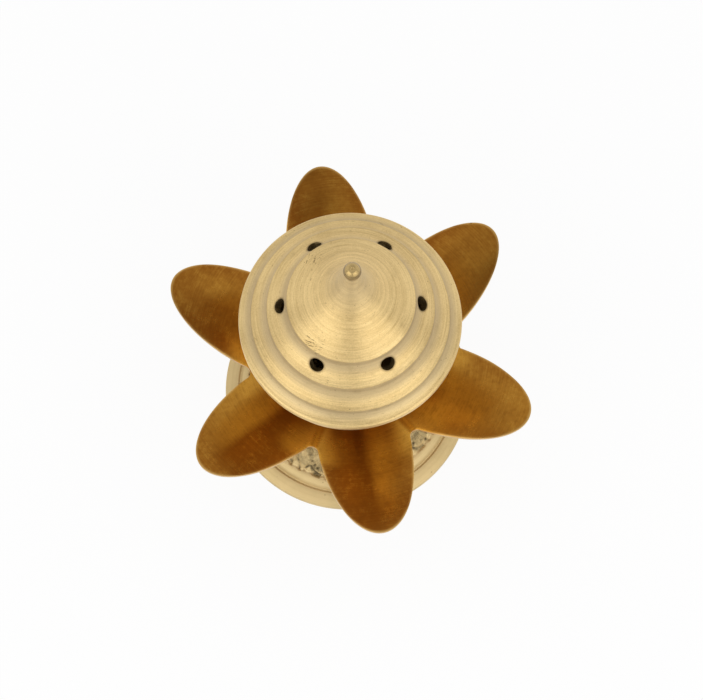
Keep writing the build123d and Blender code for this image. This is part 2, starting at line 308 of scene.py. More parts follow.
# Sharp corners of the lid's outside, as (radius, level)
BEAD_TOP = (LID_RADIUS - RIM_BEAD_STEP, SEAT_Z + LID_EDGE_HEIGHT + RIM_BEAD_RISE)
LOWER_LIP = (BEAD_TOP[0] - LOWER_TIER_STEP, BEAD_TOP[1] + LOWER_TIER_RISE)
MIDDLE_LIP = (LOWER_LIP[0] - MIDDLE_TIER_STEP, LOWER_LIP[1] + MIDDLE_TIER_RISE)
UPPER_LIP = (MIDDLE_LIP[0] - UPPER_TIER_STEP, MIDDLE_LIP[1] + UPPER_TIER_RISE)
LID_NECK = (NECK_RADIUS, NECK_Z)


# Meshes


def smooth_step(value, low, high):
    """0 below low, 1 above high and an even ease between them."""
    share = np.clip((value - low) / (high - low), 0, 1)
    return share * share * (3 - 2 * share)


def window(value, start, end):
    """1 between a start and an end, each of which is the pair of values over which it eases."""
    return smooth_step(value, *start) * (1 - smooth_step(value, *end))


def bump(distance, width):
    """A soft hump of height 1 that dies away over a width."""
    return np.exp(-((distance / width) ** 2))


def half_round(share):
    """Half circle over a share from -1 to 1, and 0 beyond."""
    return np.sqrt(np.clip(1 - share ** 2, 0, 1))


def off_nearest(value):
    """Distance from the nearest whole number."""
    return value - np.round(value)


def along_edge(start, end, bow, share):
    """Point at a share of the way from start to end, on an arc that bows to the left of its chord."""
    run = (end[0] - start[0], end[1] - start[1])
    if not bow:
        return (start[0] + share * run[0], start[1] + share * run[1])
    length = hypot(*run)
    aside = (-run[1] / length, run[0] / length)
    half_angle = 2 * np.arctan(2 * bow / length)
    radius = length / 2 / sin(half_angle)
    angle = (2 * share - 1) * half_angle
    ahead = length / 2 + radius * sin(angle)
    left = radius * (cos(angle) - cos(half_angle))
    return (
        start[0] + ahead * run[0] / length + left * aside[0],
        start[1] + ahead * run[1] / length + left * aside[1],
    )


def outline(corners, soft=0.12, step=OUTLINE_STEP, looped=True, fine_edges=(), fine_step=OUTLINE_STEP):
    """Points of a half section with eased corners, as rows of (radius, level, number of the edge).
    A corner is (radius, level), then the bow of the arc that leads to it and its own easing, where it has
    them. Edges that carry fine marks or relief have a finer step."""
    count = len(corners)
    edges = []
    for index in range(count if looped else count - 1):
        start, end = corners[index], corners[(index + 1) % count]
        bow = end[2] if len(end) > 2 else 0
        edges.append((start, end, bow, hypot(end[0] - start[0], end[1] - start[1])))

    def easing(index):
        corner = corners[index % count]
        if not looped and index in (0, count - 1):
            return 0
        return corner[3] if len(corner) > 3 else soft

    points = []
    for index, (start, end, bow, length) in enumerate(edges):
        first = min(easing(index) / length, EASE_SHARE)
        last = 1 - min(easing(index + 1) / length, EASE_SHARE)
        if first:
            before = edges[index - 1]
            entry = along_edge(*before[:3], 1 - min(easing(index) / before[3], EASE_SHARE))
            leave = along_edge(start, end, bow, first)
            for part in range(1, CORNER_STEPS):
                share = part / CORNER_STEPS
                weights = ((1 - share) ** 2, 2 * share * (1 - share), share ** 2)
                points.append((*np.dot(weights, (entry, start[:2], leave)), index))
        own_step = fine_step if index in fine_edges else step
        pieces = max(2, round((last - first) * length / own_step))
        for share in np.linspace(first, last, pieces + 1):
            points.append((*along_edge(start, end, bow, share), index))
    return np.array(points)


def turns_round(steps):
    return np.linspace(0, 2 * pi, steps, endpoint=False)


def spin(points, steps):
    """Grid of places in metres, with a row for each outline point and a column for each step round."""
    turns = turns_round(steps)
    radius = points[:, 0:1] * MM
    level = np.repeat(points[:, 1:2] * MM, steps, axis=1)
    return np.stack([radius * np.cos(turns), radius * np.sin(turns), level], axis=2)


def skin(name, grid, looped):
    """Closed piece over a spun grid. A row on the axis becomes one point."""
    rows, steps = grid.shape[:2]
    places = []
    numbers = np.zeros((rows, steps), int)
    for row in range(rows):
        on_axis = np.hypot(grid[row, 0, 0], grid[row, 0, 1]) < SAME_PLACE
        held = grid[row, :1] if on_axis else grid[row]
        numbers[row] = len(places) if on_axis else len(places) + np.arange(steps)
        places.extend(held.tolist())
    faces = []
    for row in range(rows if looped else rows - 1):
        low, high = numbers[row], numbers[(row + 1) % rows]
        ring = np.stack([low, np.roll(low, -1), np.roll(high, -1), high], axis=1)
        if low[0] == low[1]:
            ring = ring[:, [0, 2, 3]]
        elif high[0] == high[1]:
            ring = ring[:, [0, 1, 2]]
        faces.extend(ring.tolist())
    return mesh_piece(name, places, faces)


def add_object(name, data):
    made = bpy.data.objects.new(name, data)
    bpy.context.scene.collection.objects.link(made)
    return made


def mesh_piece(name, places, faces, same_place=SAME_PLACE):
    """Smooth-shaded piece with its faces turned outwards."""
    mesh = bpy.data.meshes.new(name)
    mesh.from_pydata(places, [], faces)
    shell = bmesh.new()
    shell.from_mesh(mesh)
    bmesh.ops.remove_doubles(shell, verts=shell.verts, dist=same_place)
    bmesh.ops.recalc_face_normals(shell, faces=shell.faces)
    shell.to_mesh(mesh)
    shell.free()
    mesh.shade_smooth()
    return add_object(name, mesh)


def settle(piece):
    """Replace a piece's mesh by what its modifiers make of it."""
    graph = bpy.context.evaluated_depsgraph_get()
    made = bpy.data.meshes.new_from_object(piece.evaluated_get(graph))
    piece.modifiers.clear()
    old = piece.data
    piece.data = made
    made.name = piece.name
    bpy.data.meshes.remove(old)


def cut(piece, cutter):
    """Take a cutter out of a piece."""
    tool = piece.modifiers.new("cut", "BOOLEAN")
    tool.operation = "DIFFERENCE"
    tool.solver = "EXACT"
    tool.object = cutter
    settle(piece)
    bpy.data.objects.remove(cutter)
    piece.data.set_sharp_from_angle(angle=SHARP_ANGLE)


def mark(piece, name, values):
    """Keep one number for each point of a piece, which its finish reads."""
    layer = piece.data.attributes.new(name, "FLOAT", "POINT")
    layer.data.foreach_set("value", np.asarray(values, np.float32))


def places_of(piece):
    """Radius, level and place of each point of a piece, in millimetres."""
    flat = np.zeros(len(piece.data.vertices) * 3)
    piece.data.vertices.foreach_get("co", flat)
    place = flat.reshape(-1, 3) / MM
    return np.hypot(place[:, 0], place[:, 1]), place[:, 2], place


def near(radius, level, corner, width):
    """How close places lie to a corner of an outline."""
    return bump(np.hypot(radius - corner[0], level - corner[1]), width)


def mark_crease_shade(piece, creases, width=CREASE_WIDTH):
    """Mark how close each point lies to a turned crease, for painted shade there."""
    radius, level, _ = places_of(piece)
    mark(piece, "soil_and_shade", np.max([near(radius, level, crease, width) for crease in creases], axis=0))


# Foot


def engraved(distance, width, depth):
    """A stroke cut into the surface: deepest on its line."""
    return -depth * bump(distance, width)


def from_stroke(across, radius, places):
    """Distance from a stroke, which is a chain of straight lines between places."""
    nearest = np.full(np.shape(across), np.inf)
    for start, end in zip(places, places[1:]):
        run = (end[0] - start[0], end[1] - start[1])
        share = ((across - start[0]) * run[0] + (radius - start[1]) * run[1]) / (run[0] ** 2 + run[1] ** 2)
        share = np.clip(share, 0, 1)
        aside = np.hypot(across - start[0] - share * run[0], radius - start[1] - share * run[1])
        nearest = np.minimum(nearest, aside)
    return nearest


def leaf_relief(turn, radius):
    """Height of the cast band of palm leaves, at an angle and a radius on the foot's dome."""
    pitch = 2 * pi / LEAF_COUNT
    bead_pitch = 2 * pi / BEAD_COUNT
    leaf_share = (turn - LEAF_TURN) / pitch
    leaf_across = off_nearest(leaf_share) * pitch * radius
    gap_across = off_nearest(leaf_share + 0.5) * pitch * radius
    bead_across = off_nearest(turn / bead_pitch) * bead_pitch * radius
    uneven = 0.75 + 0.25 * np.sin(5 * turn + 0.9 * radius) * np.sin(13 * turn - 0.4 * radius)

    out = radius - LEAF_ROOT_RADIUS
    span = np.hypot(leaf_across, out)
    fan = np.arctan2(leaf_across, out)
    from_rib = span * np.sin(off_nearest(fan / RIB_ANGLE) * RIB_ANGLE)
    inside_fan = 1 - smooth_step(np.abs(fan), *FAN_FADE)
    on_edge = 1 - smooth_step(np.abs(fan), *LEAF_EDGE_FADE)
    height = SWELL_RISE * half_round((span - SWELL_SPAN) / SWELL_REACH) * inside_fan
    height += engraved(from_rib, *RIB_CUT) * window(span, RIB_START, RIB_END) * inside_fan
    height += engraved(span - LEAF_SPAN, *LEAF_EDGE_CUT) * on_edge
    height += engraved(span - KNOB_CUT_SPAN, *KNOB_CUT) + KNOB_RISE * half_round(span / KNOB_RADIUS)

    bud = np.hypot(gap_across, radius - BUD_RING_RADIUS)
    around_bud = np.arctan2(gap_across, radius - BUD_RING_RADIUS)
    spiral = bud - BUD_RADIUS * (SPIRAL_START + SPIRAL_GROWTH * ((around_bud / (2 * pi)) % 1))
    husk = smooth_step(np.sin(around_bud - HUSK_TURN), *HUSK_FADE)
    bud_height = BUD_RISE * bump(bud - BUD_RADIUS, BUD_RIDGE_WIDTH) + engraved(spiral, *SPIRAL_CUT)
    bud_height += engraved(bud - BUD_RADIUS - HUSK_GAP, *HUSK_CUT) * husk
    height = np.where(bud < BUD_RADIUS + BUD_CLEARANCE, bud_height, height)
    for stroke in SCROLL_STROKES:
        height += engraved(from_stroke(gap_across, radius, stroke), *SCROLL_CUT)
    for side in (-1, 1):
        sway = VINE_ASIDE + VINE_SWAY * np.sin((radius - VINE_WAVE_RADIUS) * VINE_WAVE)
        height += engraved(gap_across - side * sway, *VINE_CUT) * window(radius, VINE_START, VINE_END)

    bead = np.hypot(bead_across, radius - BEAD_RING_RADIUS) / BEAD_RADIUS
    height = np.where(radius < BEAD_BAND_RADIUS, BEAD_RISE * half_round(bead) - BEAD_SINK, height)
    height += engraved(radius - BEAD_LINE_RADIUS, *BEAD_LINE_CUT)
    return height * uneven * window(radius, BAND_START, (BAND_RADIUS - BAND_EASE, BAND_RADIUS))


def make_foot():
    groove_outer = FOOT_RADIUS - RIM_WIDTH
    groove_inner = groove_outer - GROOVE_WIDTH
    groove_top = FOOT_EDGE_HEIGHT + RIM_RISE
    dome_radius = groove_inner - RING_WIDTH
    dome_z = groove_top + RING_RISE
    collar_z = FOOT_TOP - COLLAR_HEIGHT
    corners = [
        (FOOT_RADIUS - FOOT_TREAD_WIDTH, 0),
        (FOOT_RADIUS - FOOT_EDGE_CHAMFER, 0),
        (FOOT_RADIUS, FOOT_EDGE_CHAMFER),
        (FOOT_RADIUS, FOOT_EDGE_HEIGHT, 0, 0.35),
        (groove_outer, groove_top, -RIM_BOW, 0.2),
        (groove_outer - GROOVE_WIDTH / 2, groove_top - GROOVE_DEPTH, 0, 0.12),
        (groove_inner, groove_top, 0, 0.3),
        (dome_radius, dome_z, -RING_BOW, 0.3),
        (COLLAR_RADIUS, collar_z, -DOME_BOW),
        (COLLAR_RADIUS, FOOT_TOP, 0, 0.25),
        (BOLT_HOLE_RADIUS, FOOT_TOP),
        (BOLT_HOLE_RADIUS, BOSS_Z),
        (COLLAR_RADIUS, BOSS_Z, 0, 0.4),
        (dome_radius - FOOT_WALL / 2, dome_z - FOOT_WALL, DOME_BOW, 0.4),
    ]
    ring_edge, dome_edge = 6, 7
    points = outline(corners, fine_edges=(ring_edge, dome_edge), fine_step=DOME_STEP)
    grid = spin(points, FOOT_STEPS)
    on_ring = (points[:, 2] == ring_edge) & (points[:, 0] < BAND_RADIUS)
    on_dome = np.where((points[:, 2] == dome_edge) | on_ring)[0]
    tangent = np.gradient(points[on_dome, :2], axis=0)
    normal = np.stack([tangent[:, 1], -tangent[:, 0]], axis=1)
    normal /= np.linalg.norm(normal, axis=1, keepdims=True)
    turns = turns_round(FOOT_STEPS)
    turn_grid, radius_grid = np.meshgrid(turns, points[on_dome, 0])
    relief = leaf_relief(turn_grid, radius_grid)
    outwards = relief * normal[:, 0:1] * MM
    grid[on_dome, :, 0] += outwards * np.cos(turns)
    grid[on_dome, :, 1] += outwards * np.sin(turns)
    grid[on_dome, :, 2] += relief * normal[:, 1:2] * MM
    darkness = np.zeros(grid.shape[:2])
    band = BAND_SOIL * window(radius_grid, BAND_SOIL_START, BAND_SOIL_END)
    darkness[on_dome] = np.maximum(CUT_SOIL * smooth_step(-relief, 0, CUT_SOIL_DEPTH), band)
    from_groove = points[:, 0] - groove_outer + GROOVE_WIDTH / 2
    on_top = points[:, 1] > FOOT_EDGE_HEIGHT
    groove_rows = GROOVE_SOIL * bump(from_groove, GROOVE_SOIL_WIDTH) * on_top
    darkness = np.maximum(darkness, groove_rows[:, None])
    piece = skin("foot_casting", grid, True)
    mark(piece, "soil_and_shade", darkness.ravel())
    return piece


def make_stem():
    low = FOOT_TOP + STEM_FLANGE_HEIGHT
    high = FLOWER_Z - STEM_FLANGE_HEIGHT
    bead_low = (low + high - STEM_BEAD_HEIGHT) / 2
    bead_high = bead_low + STEM_BEAD_HEIGHT
    waist_low = (STEM_WAIST_RADIUS, bead_low)
    waist_high = (STEM_WAIST_RADIUS, bead_high)
    corners = [
        (BOLT_HOLE_RADIUS, FOOT_TOP),
        (STEM_FOOT_RADIUS, FOOT_TOP),
        (STEM_FOOT_RADIUS, low, 0, 0.3),
        (*waist_low, STEM_COVE_BOW),
        (STEM_BEAD_RADIUS, bead_low),
        (STEM_BEAD_RADIUS, bead_high, -STEM_BEAD_BOW),
        waist_high,
        (FLANGE_RADIUS, high, STEM_COVE_BOW, 0.3),
        (FLANGE_RADIUS, FLOWER_Z),
        (BOLT_HOLE_RADIUS, FLOWER_Z),
    ]
    piece = skin("turned_stem", spin(outline(corners), ROUND_STEPS), True)
    # Painted shade in the creases at the waist
    mark_crease_shade(piece, [waist_low, waist_high])
    return piece


# Flower


def around_flower(x, y):
    """Radius, angle and nearest petal of places in the plan."""
    turn = np.arctan2(y, x)
    return np.hypot(x, y), turn, np.round(turn / PETAL_PITCH).astype(int)


def sheet_level(x, y):
    """Level of the flower's upper face. Each petal is arched across, and two meet in an eased valley."""
    sweep_x = HUB_RADIUS + PETAL_LENGTH_CURVE * sin(PETAL_ROOT_SLOPE)
    sweep_z = BOWL_Z - PETAL_LENGTH_CURVE * cos(PETAL_ROOT_SLOPE)
    ring_radius = PETAL_LENGTH_CURVE - PETAL_ARCH_CURVE
    arch_reach = 0.9 * PETAL_ARCH_CURVE
    radius, turn, own = around_flower(x, y)
    side = np.where(turn >= own * PETAL_PITCH, 1, -1)
    levels = []
    for petal in (own, own + side):
        along = radius * np.cos(turn - petal * PETAL_PITCH)
        across = np.clip(radius * np.sin(turn - petal * PETAL_PITCH), -arch_reach, arch_reach)
        sweep = ring_radius + np.sqrt(PETAL_ARCH_CURVE ** 2 - across ** 2)
        levels.append(sweep_z + np.sqrt(sweep ** 2 - (along - sweep_x) ** 2))
    apart = np.clip(VALLEY_SOFTNESS - np.abs(levels[0] - levels[1]), 0, None) / VALLEY_SOFTNESS
    level = np.maximum(*levels) + apart ** 2 * VALLEY_SOFTNESS / 4
    return BOWL_Z + (level - BOWL_Z) * smooth_step(radius, HUB_RADIUS, HUB_RADIUS + HUB_EASE)


def petal_rows():
    """Plan of one petal with its share of the web: rows of (x, y) places from the bolt hole to the tip."""
    half_pitch = PETAL_PITCH / 2
    share = np.linspace(-1, 1, PETAL_COLUMNS)
    fan_x = np.cos(share * half_pitch)
    fan_y = np.sin(share * half_pitch)
    notch_centre = (PETAL_HALF_WIDTH + NOTCH_RADIUS) / sin(half_pitch)
    waist_x = notch_centre * cos(half_pitch)
    rows = []
    for radius in np.linspace(BOLT_HOLE_RADIUS, HUB_RADIUS, HUB_ROWS + 1)[:-1]:
        rows.append((radius * fan_x, radius * fan_y))
    for part in np.linspace(0, 1, WEB_ROWS):
        radius = HUB_RADIUS + part * (notch_centre - NOTCH_RADIUS - HUB_RADIUS)
        straight = smooth_step(part, 0, 1)
        straight_x = radius * cos(half_pitch)
        straight_y = straight_x * tan(half_pitch) * share
        x = (1 - straight) * radius * fan_x + straight * straight_x
        y = (1 - straight) * radius * fan_y + straight * straight_y
        rows.append((x, y))
    for angle in np.linspace(pi + half_pitch, 1.5 * pi, NOTCH_ROWS + 1)[1:]:
        x = waist_x + NOTCH_RADIUS * cos(angle)
        y = (notch_centre * sin(half_pitch) + NOTCH_RADIUS * sin(angle)) * share
        rows.append((np.full_like(share, x), y))
    for part in np.linspace(0, 1, PETAL_ROWS + 1)[1:]:
        x = waist_x + (PETAL_TIP_RADIUS - waist_x) * part * np.sqrt(1 - share ** 2 / 2)
        y = PETAL_HALF_WIDTH * share * sqrt(1 - part ** 2 / 2)
        rows.append((x, y))
    return np.array([np.stack(row, axis=1) for row in rows])


def bend_sheet(flat):
    """Bend the cut sheet to its arches. Petals were shaped by hand, so each is turned a little and its
    surface is slightly uneven."""
    x, y = flat[:, 0], flat[:, 1]
    radius, turn, own = around_flower(x, y)
    petal = own % PETAL_COUNT
    free = smooth_step(radius, PETAL_FREE_RADIUS, PETAL_TIP_RADIUS)
    level = sheet_level(x, y)
    nearby = 0.01
    slope_x = (sheet_level(x + nearby, y) - level) / nearby
    slope_y = (sheet_level(x, y + nearby) - level) / nearby
    uneven = np.sin(0.31 * x + 1.9 * petal) * np.sin(0.37 * y + 2.3 * petal)
    uneven += 0.6 * np.sin(0.55 * x - 0.4 * y + petal)
    level += PETAL_UNEVEN_RISE * uneven * smooth_step(radius, *PETAL_UNEVEN_START)
    level += flat[:, 2] * np.sqrt(1 + slope_x ** 2 + slope_y ** 2)
    turn += np.radians(PETAL_TURNS)[petal] * free
    radius = radius - np.array(PETAL_CLIPS)[petal] * free
    return np.stack([radius * np.cos(turn), radius * np.sin(turn), level], axis=1)


def petal_patina_and_shading(x, y):
    """How dark the sheet is at a place: patina with painted reflections on each half, painted shade at the
    flanks and painted light at the webs and root, and darker tips. Petals differ.
    """
    radius, turn, own = around_flower(x, y)
    across = radius * np.sin(turn - own * PETAL_PITCH)
    halves = np.array(PETAL_HALF_SHADING)[own % PETAL_COUNT]
    left = smooth_step(across, -SHADING_FOLD, SHADING_FOLD)
    darkness = (1 - left) * halves[:, 0] + left * halves[:, 1]
    flank = smooth_step(np.abs(across), *FLANK_START)
    web = (1 - smooth_step(radius, *WEB_END)) * flank
    tip = smooth_step(radius, *TIP_START)
    darkness = (1 - tip) * darkness + tip * (halves.mean(axis=1) + TIP_DARKENING) + FLANK_SHADE * flank
    darkness = (1 - web) * darkness + web * WEB_SHADING
    return darkness - ROOT_LIGHT * (1 - smooth_step(radius, *ROOT_END))


def make_flower():
    plan = petal_rows() * MM
    rows, columns = plan.shape[:2]
    places, faces = [], []
    for petal in range(PETAL_COUNT):
        first = len(places)
        turned = Matrix.Rotation(petal * PETAL_PITCH, 2)
        around = plan.reshape(-1, 2) @ np.array(turned).T
        places.extend((x, y, 0) for x, y in around.tolist())
        numbers = first + np.arange(rows * columns).reshape(rows, columns)
        ring = [numbers[:-1, :-1], numbers[1:, :-1], numbers[1:, 1:], numbers[:-1, 1:]]
        faces.extend(np.stack(ring, axis=-1).reshape(-1, 4).tolist())
    piece = mesh_piece("petal_sheet", places, faces, same_place=10 * SAME_PLACE)
    shell = bmesh.new()
    shell.from_mesh(piece.data)
    rim = KDTree(len(shell.verts))
    for corner in shell.verts:
        if corner.is_boundary:
            rim.insert(corner.co, corner.index)
    rim.balance()
    shell.free()
    sheet = piece.modifiers.new("sheet", "SOLIDIFY")
    sheet.thickness = SHEET_THICKNESS * MM
    sheet.offset = -1
    rounding = piece.modifiers.new("edge", "BEVEL")
    rounding.width = SHEET_EDGE_ROUNDING * MM
    rounding.segments = 3
    rounding.limit_method = "ANGLE"
    rounding.angle_limit = SHEET_EDGE_ANGLE
    settle(piece)
    radius, _, flat = places_of(piece)
    from_rim = [rim.find((x * MM, y * MM, 0))[2] / MM for x, y in flat[:, :2]]
    # Patina with painted reflections, shade and light
    mark(piece, "darkness", petal_patina_and_shading(flat[:, 0], flat[:, 1]))
    # Painted highlight along the sheet's edges, beyond the root
    mark(piece, "rim", smooth_step(radius, *RIM_HIGHLIGHT_START) * bump(np.array(from_rim), RIM_HIGHLIGHT_WIDTH))
    piece.data.vertices.foreach_set("co", (bend_sheet(flat) * MM).ravel())
    piece.data.update()
    piece.data.shade_smooth()
    return piece


# Bowl, lid and finial


def make_bowl():
    flange_top = BOWL_Z + BOWL_FLANGE_HEIGHT
    neck = (BOWL_NECK_RADIUS, flange_top + BOWL_NECK_HEIGHT)
    rim_low = SEAT_Z - BOWL_RIM_HEIGHT
    mouth_radius = BOWL_RIM_RADIUS - BOWL_RIM_WALL
    floor_z = BOWL_Z + BOWL_FLOOR_HEIGHT
    corners = [
        (BOLT_HOLE_RADIUS, BOWL_Z),
        (FLANGE_RADIUS, BOWL_Z),
        (FLANGE_RADIUS, flange_top, 0, 0.3),
        neck,
        (BOWL_RIM_RADIUS, rim_low, -BOWL_SIDE_BOW, 0.3),
        (BOWL_RIM_RADIUS, SEAT_Z, 0, 0.25),
        (mouth_radius, SEAT_Z, 0, 0.25),
        (mouth_radius, rim_low),
        (mouth_radius - SPIGOT_CLEARANCE, rim_low),
        (BOWL_FLOOR_RADIUS, floor_z, BOWL_SIDE_BOW, 0.8),
        (BOLT_HOLE_RADIUS, floor_z),
    ]
    piece = skin("ash_bowl", spin(outline(corners), ROUND_STEPS), True)
    # Painted shade in the creases at the neck and under the rim
    mark_crease_shade(piece, [neck, (BOWL_RIM_RADIUS, rim_low)])
    return piece


def under_lip(lip):
    """Corner where the cove below a lip meets the lip's undercut."""
    return (lip[0] - LIP_UNDERCUT, lip[1] - LIP_EDGE)


def lip_corners(lip, bow):
    """Corners of a lip from its top down, with the bow of the arc that leads to it."""
    return [(*lip, bow, 0.14), (lip[0], lip[1] - LIP_EDGE, 0, 0.08), (*under_lip(lip), 0, 0.1)]


# Where the axes of the stick holes cross the upper cove, as (radius, level) and angles
HOLE_MIDDLE = along_edge(MIDDLE_LIP, under_lip(UPPER_LIP), COVE_BOW, 0.5)
HOLE_TURNS = HOLE_TURN + turns_round(HOLE_COUNT)


def stick_drills():
    """One tool with a plain rod on the slanting axis of each stick hole."""
    rod = np.array([(0, -1), (1, -1), (1, 1), (0, 1)]) * (HOLE_RADIUS, DRILL_REACH)
    grid = spin(rod, FASTENER_STEPS)
    drills = []
    for turn in HOLE_TURNS:
        drill = skin("drill", grid, False)
        out = Matrix.Translation((HOLE_MIDDLE[0] * MM, 0, HOLE_MIDDLE[1] * MM))
        tilt = Matrix.Rotation(pi / 2 - HOLE_TILT, 4, "Y")
        drill.data.transform(Matrix.Rotation(turn, 4, "Z") @ out @ tilt)
        drills.append(drill)
    with bpy.context.temp_override(active_object=drills[0], selected_editable_objects=drills):
        bpy.ops.object.join()
    return drills[0]


def shade_by_holes(place):
    """How close each place on the lid lies to the edge of a stick hole, for painted shade there."""
    dark_shades = []
    for turn in HOLE_TURNS:
        axis = np.array([cos(HOLE_TILT) * cos(turn), cos(HOLE_TILT) * sin(turn), sin(HOLE_TILT)])
        arm = place - np.array([HOLE_MIDDLE[0] * cos(turn), HOLE_MIDDLE[0] * sin(turn), HOLE_MIDDLE[1]])
        along = arm @ axis
        aside = np.linalg.norm(arm - along[:, None] * axis, axis=1)
        dark_shades.append(bump(aside - HOLE_RADIUS, HOLE_SHADE_WIDTH) * (np.abs(along) < DRILL_REACH / 2))
    return np.max(dark_shades, axis=0)


def make_lid():
    def inside(corner):
        return (corner[0] - LID_WALL, corner[1] - LID_WALL_DROP)

    def core(share):
        return along_edge(inside(UPPER_LIP), inside(LID_NECK), CONE_BOW, share)

    spigot_radius = BOWL_RIM_RADIUS - BOWL_RIM_WALL - SPIGOT_CLEARANCE
    core_radius = spigot_radius - LID_WALL
    hollow_z = NECK_Z - CONE_TIP_SOLID
    shank_hole_z = SHANK_Z - SHANK_HOLE_SPARE
    core_end = min(map(core, np.linspace(0, 1, 400)), key=lambda point: abs(point[1] - hollow_z))
    corners = [
        (0, shank_hole_z),
        (SHANK_HOLE_RADIUS, shank_hole_z),
        (SHANK_HOLE_RADIUS, NECK_Z, 0, 0.05),
        (*LID_NECK, 0, 0.12),
        *lip_corners(UPPER_LIP, -CONE_BOW),
        *lip_corners(MIDDLE_LIP, -COVE_BOW),
        *lip_corners(LOWER_LIP, -COVE_BOW),
        (*BEAD_TOP, -LOWER_COVE_BOW, 0.12),
        (LID_RADIUS, SEAT_Z + LID_EDGE_HEIGHT, RIM_BEAD_BOW, 0.25),
        (LID_RADIUS, SEAT_Z, 0, 0.2),
        (spigot_radius, SEAT_Z),
        (spigot_radius, SPIGOT_Z + SPIGOT_LEAD),
        (spigot_radius - SPIGOT_LEAD, SPIGOT_Z),
        (core_radius, SPIGOT_Z),
        (core_radius, inside(LOWER_LIP)[1]),
        (*inside(MIDDLE_LIP), COVE_BOW),
        (*inside(UPPER_LIP), COVE_BOW),
        (*core(CORE_SHARE), CONE_BOW * CORE_SHARE ** 2),
        (*core_end, CORE_END_BOW),
        (0, hollow_z),
    ]
    outer_edges = range(2, 19)
    points = outline(corners, looped=False, step=HIDDEN_STEP, fine_edges=outer_edges, fine_step=FINE_STEP)
    piece = skin("pierced_head", spin(points, LID_STEPS), False)
    cut(piece, stick_drills())
    radius, level, place = places_of(piece)
    # Painted shade: dark at the hole edges, the neck crease, along the lips and under them; grey out from
    # under the lips and round the finial
    dark_shades = [shade_by_holes(place), near(radius, level, LID_NECK, CREASE_WIDTH)]
    shades = [NECK_SHADE_SHARE * (level > UPPER_LIP[1]) * (1 - smooth_step(radius, *NECK_SHADE))]
    for lip in (UPPER_LIP, MIDDLE_LIP, LOWER_LIP):
        out = radius - lip[0]
        tier_low = max(lip[1] - UPPER_TIER_RISE, SEAT_Z)
        below = (level < lip[1] - LIP_EDGE / 2) & (level > tier_low) & (out > -COVE_REACH)
        dark_shades.append(UNDERCUT_SHADE * below * bump(out - UNDERCUT_SHADE_OFFSET, LIP_LINE_WIDTH))
        dark_shades.append(LIP_LINE_SHADE * near(radius, level, lip, LIP_LINE_WIDTH))
        shades.append(below * (1 - smooth_step(out, *LIP_SHADE)))
    pits = [bump(np.linalg.norm(place - middle, axis=1), width) for *middle, width in PIT_CLUSTERS]
    for name, layers in (("soil_and_shade", dark_shades), ("shade", shades), ("pitted", pits)):
        mark(piece, name, np.max(layers, axis=0))
    return piece


def make_finial():
    ball_z = BALL_TOP - BALL_RADIUS
    collar_top = NECK_Z + FINIAL_COLLAR_HEIGHT
    collar_angle = -np.arccos(FINIAL_COLLAR_RADIUS / BALL_RADIUS)
    pin = outline([
        (0, SHANK_Z),
        (SHANK_RADIUS, SHANK_Z),
        (SHANK_RADIUS, NECK_Z),
        (NECK_RADIUS, NECK_Z, 0, 0.08),
        (FINIAL_COLLAR_RADIUS, collar_top),
    ], looped=False, step=FINE_STEP)
    flat_angle = np.arccos(BALL_FLAT_RADIUS / BALL_RADIUS)
    angles = np.linspace(collar_angle, flat_angle, BALL_STEPS)[1:]
    stretch = 1 / sin(flat_angle)
    levels = ball_z + BALL_RADIUS * np.sin(angles) * np.where(angles > 0, stretch, 1)
    ball = np.stack([BALL_RADIUS * np.cos(angles), levels, angles * 0], axis=1)
    top = outline([
        (BALL_FLAT_RADIUS, BALL_TOP),
        (CENTRE_MARK_RADIUS, BALL_TOP),
        (0, BALL_TOP - CENTRE_MARK_DEPTH),
    ], looped=False, step=TINY_STEP)[1:]
    piece = skin("ball_finial", spin(np.concatenate([pin, ball, top]), ROUND_STEPS // 2), False)
    # Painted shade round the collar and in rings on the ball's sides
    equator = (BALL_RADIUS, ball_z + BALL_SHADE_LIFT)
    shoulder = (BALL_RADIUS * cos(BALL_SHADE_ANGLE), ball_z + BALL_RADIUS * sin(BALL_SHADE_ANGLE))
    mark_crease_shade(piece, [(FINIAL_COLLAR_RADIUS, collar_top), equator, shoulder], BALL_SHADE_WIDTH)
    return piece


# Fasteners


